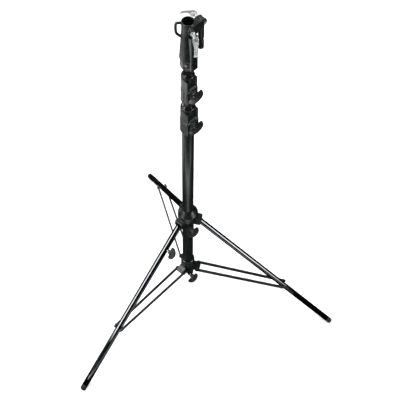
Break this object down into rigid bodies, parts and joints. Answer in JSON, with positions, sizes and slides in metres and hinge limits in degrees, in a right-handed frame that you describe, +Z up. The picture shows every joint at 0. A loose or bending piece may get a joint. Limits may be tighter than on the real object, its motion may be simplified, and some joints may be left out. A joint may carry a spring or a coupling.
{
  "type": "light stand",
  "caption": "Folding tripod stand for lighting grip: column with clamped risers, braced folding legs, levelling leg, socket head with lock lever and flip-up stud.",
  "frame": {"origin": "on the floor, at the middle of the whole stand's bounding box at rest, legs spread and risers collapsed; the column's axis is the line x = 0, y = 0.127852 m", "axes": "+Z up along the column; -Y points from the column to the levelling leg; +X is to the right of someone who faces +Y"},
  "size_m": [0.9062, 0.7874, 1.406],
  "materials": {
    "column_finish": "dark grey-black plated steel tube, satin to gloss",
    "black_chrome": "black chromed steel tube, mirror gloss",
    "chrome": "bright chromed steel",
    "casting_black": "black anodised die-cast aluminium, satin",
    "black_steel": "blackened steel, satin",
    "brace_black": "black plated flat steel bar, semi-gloss",
    "nylon_black": "black nylon, semi-gloss",
    "knob_black": "black glass-filled moulding, satin with a glossy rim",
    "rubber_black": "black rubber, matt",
    "brass": "turned brass",
    "satin_nickel": "satin nickel-plated steel, pale and soft",
    "zinc_steel": "zinc-plated steel"
  },
  "bodies": {
    "column": {"column_tube": "column_finish", "column_foot_plug": "nylon_black", "lower_clamp_casting": "casting_black", "lower_clamp_bush": "nylon_black", "lower_clamp_shoe": "brass", "brace_collar": "casting_black", "brace_knob_washer": "chrome", "levelling_brace_pin": "black_steel", "right_brace_pin": "black_steel", "rear_brace_pin": "black_steel"},
    "lower_clamp_knob": {"lower_clamp_knob": "knob_black"},
    "riser_1": {"riser_1_tube": "chrome", "riser_1_guide": "nylon_black", "upper_clamp_casting": "casting_black", "upper_clamp_bush": "nylon_black", "upper_clamp_shoe": "brass"},
    "upper_clamp_knob": {"upper_clamp_knob": "knob_black"},
    "riser_2": {"riser_2_tube": "chrome", "riser_2_guide": "nylon_black", "head_casting": "casting_black", "head_pin": "zinc_steel", "spigot_nut": "black_steel"},
    "socket_lock_screw": {"socket_lock_screw": "satin_nickel", "socket_lever_pin": "zinc_steel"},
    "socket_lock_lever": {"socket_lock_lever": "satin_nickel"},
    "spigot": {"spigot": "black_steel"},
    "spigot_lock_screw": {"spigot_lock_screw": "satin_nickel", "spigot_lever_pin": "zinc_steel"},
    "spigot_lock_lever": {"spigot_lock_lever": "satin_nickel"},
    "leg_collar": {"leg_collar": "casting_black", "levelling_leg_bolt": "black_steel", "right_leg_bolt": "black_steel", "rear_leg_bolt": "black_steel"},
    "leg_collar_knob": {"leg_collar_knob": "knob_black"},
    "brace_collar_knob": {"brace_collar_knob": "knob_black"},
    "levelling_leg": {"levelling_leg_outer_tube": "black_chrome", "levelling_leg_top_plug": "nylon_black", "levelling_clamp_boss": "casting_black", "levelling_brace_bolt": "zinc_steel"},
    "levelling_leg_inner": {"levelling_leg_inner_tube": "chrome", "levelling_foot": "rubber_black"},
    "levelling_knob": {"levelling_knob": "knob_black"},
    "right_leg": {"right_leg_tube": "black_chrome", "right_leg_top_plug": "nylon_black", "right_foot": "rubber_black", "right_brace_bolt": "zinc_steel"},
    "rear_leg": {"rear_leg_tube": "black_chrome", "rear_leg_top_plug": "nylon_black", "rear_foot": "rubber_black", "rear_brace_bolt": "zinc_steel"},
    "levelling_braces": {"levelling_brace_a": "brace_black", "levelling_brace_b": "brace_black"},
    "right_braces": {"right_brace_a": "brace_black", "right_brace_b": "brace_black"},
    "rear_braces": {"rear_brace_a": "brace_black", "rear_brace_b": "brace_black"}
  },
  "joints": [
    {"name": "leg_collar_slide", "type": "slide", "parent": "column", "child": "leg_collar", "axis": [0, 0, 1], "range_m": [0, 0.4071]},
    {"name": "lower_clamp_knob_turn", "type": "hinge", "parent": "column", "child": "lower_clamp_knob", "pos_m": [0.03998, 0.12646, 1.009], "axis": [0.9994, -0.0349, 0], "range_deg": [0, 360]},
    {"name": "riser_1_slide", "type": "slide", "parent": "column", "child": "riser_1", "axis": [0, 0, 1], "range_m": [0, 0.785]},
    {"name": "upper_clamp_knob_turn", "type": "hinge", "parent": "riser_1", "child": "upper_clamp_knob", "pos_m": [0.03998, 0.12646, 1.1405], "axis": [0.9994, -0.0349, 0], "range_deg": [0, 360]},
    {"name": "riser_2_slide", "type": "slide", "parent": "riser_1", "child": "riser_2", "axis": [0, 0, 1], "range_m": [0, 0.775]},
    {"name": "socket_screw_turn", "type": "hinge", "parent": "riser_2", "child": "socket_lock_screw", "pos_m": [0.03595, 0.11032, 1.393], "axis": [0.8988, -0.4384, 0], "range_deg": [-180, 180]},
    {"name": "socket_lever_swing", "type": "hinge", "parent": "socket_lock_screw", "child": "socket_lock_lever", "pos_m": [0.04404, 0.10637, 1.393], "axis": [-0.4384, -0.8988, 0], "range_deg": [0, 125]},
    {"name": "spigot_flip", "type": "hinge", "parent": "riser_2", "child": "spigot", "pos_m": [0.0117, 0.16189, 1.394], "axis": [0.9986, -0.0523, 0], "range_deg": [0, 180]},
    {"name": "spigot_screw_turn", "type": "hinge", "parent": "riser_2", "child": "spigot_lock_screw", "pos_m": [0.0117, 0.16189, 1.394], "axis": [-0.9986, 0.0523, 0], "range_deg": [-180, 180]},
    {"name": "spigot_lever_swing", "type": "hinge", "parent": "spigot_lock_screw", "child": "spigot_lock_lever", "pos_m": [-0.01227, 0.16314, 1.394], "axis": [0.0523, 0.9986, 0], "range_deg": [-51, 74]},
    {"name": "leg_collar_knob_turn", "type": "hinge", "parent": "leg_collar", "child": "leg_collar_knob", "pos_m": [0.04532, 0.10672, 0.488], "axis": [0.9063, -0.4226, 0], "range_deg": [0, 360]},
    {"name": "brace_collar_knob_turn", "type": "hinge", "parent": "column", "child": "brace_collar_knob", "pos_m": [0.04532, 0.10672, 0.184], "axis": [0.9063, -0.4226, 0], "range_deg": [0, 360]},
    {"name": "levelling_leg_fold", "type": "hinge", "parent": "leg_collar", "child": "levelling_leg", "pos_m": [0, 0.08885, 0.5051], "axis": [1, 0, 0], "range_deg": [0, 40.67]},
    {"name": "right_leg_fold", "type": "hinge", "parent": "leg_collar", "child": "right_leg", "pos_m": [0.03377, 0.14735, 0.5051], "axis": [-0.5, 0.866, 0], "range_deg": [0, 40.67]},
    {"name": "rear_leg_fold", "type": "hinge", "parent": "leg_collar", "child": "rear_leg", "pos_m": [-0.03377, 0.14735, 0.5051], "axis": [-0.5, -0.866, 0], "range_deg": [0, 40.67]},
    {"name": "levelling_brace_fold", "type": "hinge", "parent": "column", "child": "levelling_braces", "pos_m": [0, 0.09285, 0.2022], "axis": [-1, 0, 0], "range_deg": [0, 84.94]},
    {"name": "right_brace_fold", "type": "hinge", "parent": "column", "child": "right_braces", "pos_m": [0.03031, 0.14535, 0.2022], "axis": [0.5, -0.866, 0], "range_deg": [0, 84.94]},
    {"name": "rear_brace_fold", "type": "hinge", "parent": "column", "child": "rear_braces", "pos_m": [-0.03031, 0.14535, 0.2022], "axis": [0.5, 0.866, 0], "range_deg": [0, 84.94]},
    {"name": "levelling_slide", "type": "slide", "parent": "levelling_leg", "child": "levelling_leg_inner", "axis": [0, -0.6904, -0.7234], "range_m": [0, 0.07]},
    {"name": "levelling_knob_turn", "type": "hinge", "parent": "levelling_leg", "child": "levelling_knob", "pos_m": [0.03, 0.02465, 0.43782], "axis": [1, 0, 0], "range_deg": [0, 360]}
  ],
  "couplings": [
    {"joint": "levelling_leg_fold", "follows": "leg_collar_slide", "rad_per_m": 1.7432},
    {"joint": "right_leg_fold", "follows": "leg_collar_slide", "rad_per_m": 1.7432},
    {"joint": "rear_leg_fold", "follows": "leg_collar_slide", "rad_per_m": 1.7432},
    {"joint": "levelling_brace_fold", "follows": "leg_collar_slide", "rad_per_m": 3.641},
    {"joint": "right_brace_fold", "follows": "leg_collar_slide", "rad_per_m": 3.641},
    {"joint": "rear_brace_fold", "follows": "leg_collar_slide", "rad_per_m": 3.641}
  ]
}
